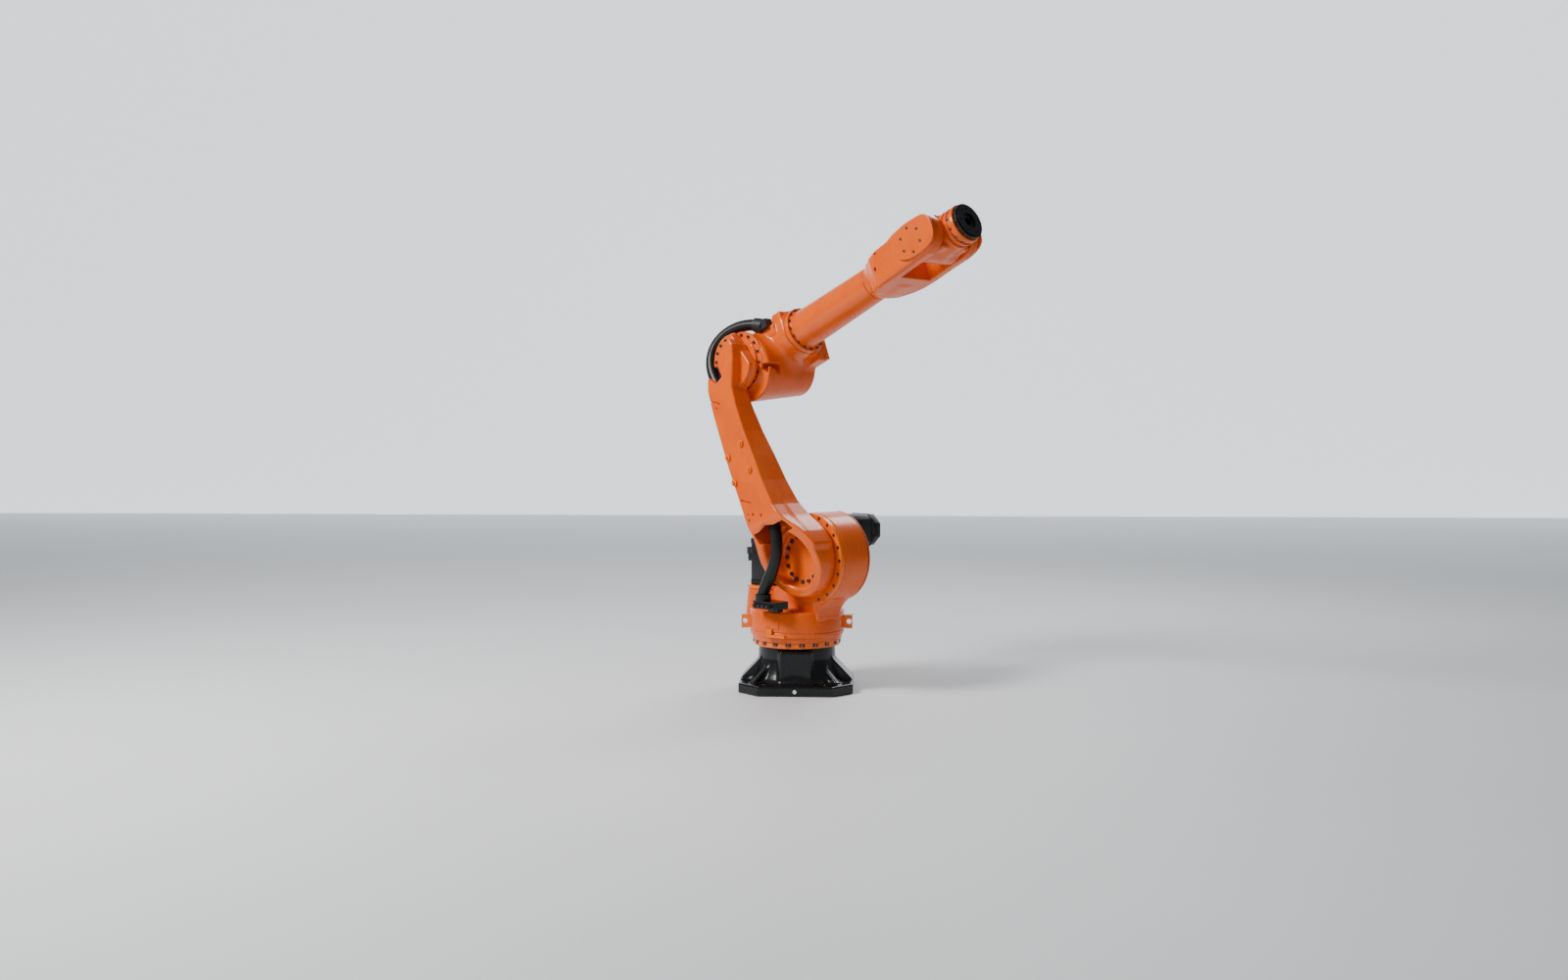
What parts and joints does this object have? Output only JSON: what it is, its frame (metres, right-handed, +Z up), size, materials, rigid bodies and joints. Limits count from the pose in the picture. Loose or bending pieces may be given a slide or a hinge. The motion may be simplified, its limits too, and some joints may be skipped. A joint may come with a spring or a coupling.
{
  "type": "six-axis robot arm",
  "caption": "Floor-standing six-axis articulated industrial robot arm with swing column, link arm, elbow, rolling forearm, tilting wrist and tool flange",
  "frame": {"origin": "on the floor at the swing axis, which is the centre of the foot plate", "axes": "+Z is up, along the swing axis; +X leaves the front of the base, opposite its connector panel; the arm stands swung 45 degrees towards +Y"},
  "size_m": [1.1173, 1.1337, 1.9603],
  "materials": {
    "orange_paint": "gloss",
    "black_paint": "satin",
    "motor_black": "satin",
    "machined_steel": "satin",
    "dark_grey_plastic": "matte",
    "hose_rubber": "satin",
    "white_plastic": "satin"
  },
  "bodies": {
    "base": {"base_frame": "black_paint", "base_service_panel": "dark_grey_plastic", "power_connector": "dark_grey_plastic", "signal_connector": "dark_grey_plastic", "front_level_plug": "white_plastic", "swing_gear_unit": "machined_steel", "swing_cable_tube": "machined_steel"},
    "column": {"column_frame": "orange_paint", "column_base_ring": "orange_paint", "column_ring_bolts": "machined_steel", "column_lugs": "orange_paint", "column_lug_bolts": "machined_steel", "swing_stop_bracket": "orange_paint", "swing_motor_seat": "orange_paint", "swing_motor": "motor_black", "swing_motor_plugs": "dark_grey_plastic", "shoulder_gear_ring": "orange_paint", "shoulder_ring_bolts": "machined_steel", "shoulder_gear_unit": "machined_steel", "shoulder_drum_cover": "orange_paint", "shoulder_cover_bolts": "machined_steel", "shoulder_motor": "motor_black", "shoulder_motor_plugs": "dark_grey_plastic", "hose_junction_box": "black_paint", "hose_junction_plugs": "dark_grey_plastic", "energy_hose_lower": "hose_rubber"},
    "link_arm": {"link_arm_frame": "orange_paint", "link_hub_bolts": "machined_steel", "link_elbow_bolts": "machined_steel", "link_bosses": "orange_paint", "link_hose_clamps": "dark_grey_plastic", "energy_hose_middle": "hose_rubber", "energy_hose_upper": "hose_rubber"},
    "elbow": {"elbow_housing": "orange_paint", "elbow_flange_ring": "orange_paint", "elbow_ring_bolts": "machined_steel", "elbow_gear_unit": "machined_steel", "elbow_motor": "motor_black", "elbow_end_cover": "orange_paint", "elbow_cover_bolts": "machined_steel", "roll_gear_unit": "machined_steel", "rear_motor_plate": "orange_paint", "roll_motor": "motor_black", "wrist_motor": "motor_black", "tool_motor": "motor_black", "wrist_motor_plugs": "dark_grey_plastic", "elbow_side_box": "orange_paint", "elbow_hose_bracket": "dark_grey_plastic"},
    "forearm": {"forearm_tube": "orange_paint", "forearm_flange_bolts": "machined_steel", "wrist_drive_shaft": "machined_steel", "tool_drive_shaft": "machined_steel", "wrist_fork": "orange_paint", "fork_cover_right": "orange_paint", "fork_cover_left": "orange_paint", "fork_cover_bolts": "machined_steel"},
    "wrist": {"wrist_body": "orange_paint", "wrist_ring_bolts": "machined_steel", "tool_gear_unit": "machined_steel"},
    "tool_flange": {"tool_flange": "motor_black"}
  },
  "joints": [
    {"name": "swing_joint", "type": "hinge", "parent": "base", "child": "column", "pos_m": [0, 0, 0], "axis": [0, 0, 1], "range_deg": [-230, 140]},
    {"name": "shoulder_joint", "type": "hinge", "parent": "column", "child": "link_arm", "pos_m": [0.12374, 0.12374, 0.575], "axis": [-0.7071, 0.7071, 0], "range_deg": [-23, 147], "deforming": ["energy_hose_lower"]},
    {"name": "elbow_joint", "type": "hinge", "parent": "link_arm", "child": "elbow", "pos_m": [-0.11201, -0.11201, 1.40019], "axis": [0.7071, -0.7071, 0], "range_deg": [-68, 210], "deforming": ["energy_hose_upper"]},
    {"name": "forearm_roll_joint", "type": "hinge", "parent": "elbow", "child": "forearm", "pos_m": [-0.12502, -0.12502, 1.44668], "axis": [0.6575, 0.6575, 0.3681], "range_deg": [-350, 350]},
    {"name": "wrist_tilt_joint", "type": "hinge", "parent": "forearm", "child": "wrist", "pos_m": [0.55544, 0.55544, 1.82769], "axis": [-0.7071, 0.7071, 0], "range_deg": [-119, 119]},
    {"name": "tool_spin_joint", "type": "hinge", "parent": "wrist", "child": "tool_flange", "pos_m": [0.55544, 0.55544, 1.82769], "axis": [0.6575, 0.6575, 0.3681], "range_deg": [-350, 350]}
  ]
}
